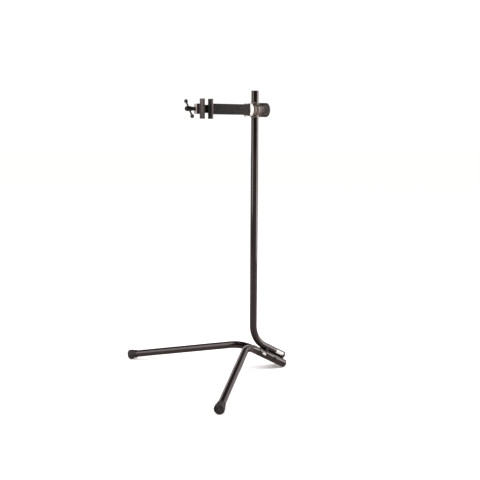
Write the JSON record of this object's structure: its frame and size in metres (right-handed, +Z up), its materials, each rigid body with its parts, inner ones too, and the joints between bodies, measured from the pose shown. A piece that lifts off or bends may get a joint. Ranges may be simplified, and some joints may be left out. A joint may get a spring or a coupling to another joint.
{
  "type": "bike repair stand",
  "caption": "Folding bicycle repair stand: bent-tube upright, swing-out legs, sliding collar with clamp knob and a folding arm whose screw jaws grip a seatpost.",
  "frame": {"origin": "on the floor at the middle of the stand's footprint", "axes": "+Z up; the arm points to -X; the legs spread to +Y (left) and -Y (right); the tail is at +X"},
  "size_m": [0.6512, 0.995, 1.3492],
  "materials": {
    "tube_paint": "gloss powder coat",
    "arm_paint": "satin powder coat",
    "jaw_paint": "satin grey coat on cast metal",
    "block_metal": "bead-blasted cast aluminium",
    "collar_metal": "tumbled cast aluminium",
    "flange_metal": "turned aluminium",
    "zinc_steel": "zinc-plated steel",
    "screw_steel": "black-oxide steel",
    "knob_plastic": "moulded, knurled",
    "cap_plastic": "moulded",
    "foot_rubber": "matte, slightly dusty",
    "pad_rubber": "matte",
    "nylon": "moulded nylon",
    "brass": "turned",
    "friction_disc": "pressed friction material"
  },
  "bodies": {
    "frame": {"upright_tube": "tube_paint", "upright_top_cap": "cap_plastic", "upright_tail_cap": "cap_plastic", "tail_rivet": "zinc_steel", "saddle_rear": "tube_paint", "saddle_front": "tube_paint", "socket_left": "tube_paint", "socket_right": "tube_paint", "socket_plug_left": "cap_plastic", "socket_plug_right": "cap_plastic", "socket_bushes_left": "nylon", "socket_bushes_right": "nylon", "retaining_screws": "screw_steel"},
    "sleeve": {"collar_sleeve": "nylon"},
    "collar": {"collar_body": "collar_metal", "draw_yoke": "zinc_steel", "friction_washer": "friction_disc", "thrust_washer": "zinc_steel", "head_nut": "zinc_steel"},
    "knob": {"clamp_knob": "knob_plastic", "knob_insert": "brass", "knob_cap": "cap_plastic"},
    "pivot_head": {"pivot_head": "flange_metal"},
    "arm": {"arm_tube": "arm_paint", "hinge_bolt": "zinc_steel", "hinge_nut": "zinc_steel", "lock_spring": "zinc_steel", "arm_end_block": "block_metal", "fixed_jaw": "jaw_paint", "fixed_jaw_pad": "pad_rubber", "fixed_jaw_screws": "zinc_steel"},
    "lock_button": {"lock_button": "cap_plastic"},
    "jaw": {"moving_jaw": "jaw_paint", "moving_jaw_pad": "pad_rubber", "jaw_dowels": "zinc_steel", "jaw_block": "block_metal", "slide_bar": "screw_steel"},
    "screw": {"clamp_screw": "screw_steel", "screw_clip": "zinc_steel", "tommy_bar": "screw_steel", "bar_balls": "cap_plastic"},
    "leg_left": {"leg_tube_left": "tube_paint", "leg_end_plug_left": "zinc_steel", "stop_block_left": "zinc_steel", "foot_cap_left": "foot_rubber"},
    "leg_right": {"leg_tube_right": "tube_paint", "leg_end_plug_right": "zinc_steel", "stop_block_right": "zinc_steel", "foot_cap_right": "foot_rubber"}
  },
  "joints": [
    {"name": "leg_left_fold", "type": "hinge", "parent": "frame", "child": "leg_left", "pos_m": [0.30511, 0.0245, 0.01753], "axis": [-0.8763, 0, 0.4818], "range_deg": [-122.4, 0]},
    {"name": "leg_right_fold", "type": "hinge", "parent": "frame", "child": "leg_right", "pos_m": [0.30511, -0.0245, 0.01753], "axis": [0.8763, 0, -0.4818], "range_deg": [-122.4, 0]},
    {"name": "collar_height", "type": "slide", "parent": "frame", "child": "sleeve", "axis": [0, 0, 1], "range_m": [-0.17, 0.02]},
    {"name": "collar_swivel", "type": "hinge", "parent": "sleeve", "child": "collar", "pos_m": [0.14097, 0, 1.2604], "axis": [0, 0, 1], "continuous": true},
    {"name": "knob_turn", "type": "hinge", "parent": "collar", "child": "knob", "pos_m": [0.19097, 0, 1.2604], "axis": [1, 0, 0], "range_deg": [-720, 720]},
    {"name": "head_roll", "type": "hinge", "parent": "collar", "child": "pivot_head", "pos_m": [0.11097, 0, 1.2604], "axis": [-1, 0, 0], "continuous": true},
    {"name": "arm_fold", "type": "hinge", "parent": "pivot_head", "child": "arm", "pos_m": [0.08897, 0, 1.2604], "axis": [0, 0, 1], "range_deg": [-90, 0]},
    {"name": "lock_press", "type": "slide", "parent": "arm", "child": "lock_button", "axis": [0, -1, 0], "range_m": [0, 0.004], "stiffness_N_per_m": 800, "springref_m": -0.004, "deforming": ["lock_spring"]},
    {"name": "jaw_slide", "type": "slide", "parent": "arm", "child": "jaw", "axis": [-1, 0, 0], "range_m": [-0.02, 0.02]},
    {"name": "screw_turn", "type": "hinge", "parent": "jaw", "child": "screw", "pos_m": [-0.19603, 0.0145, 1.2604], "axis": [-1, 0, 0], "range_deg": [-1440, 1440]}
  ],
  "couplings": [
    {"joint": "jaw_slide", "follows": "screw_turn", "m_per_rad": 0.00079577}
  ]
}
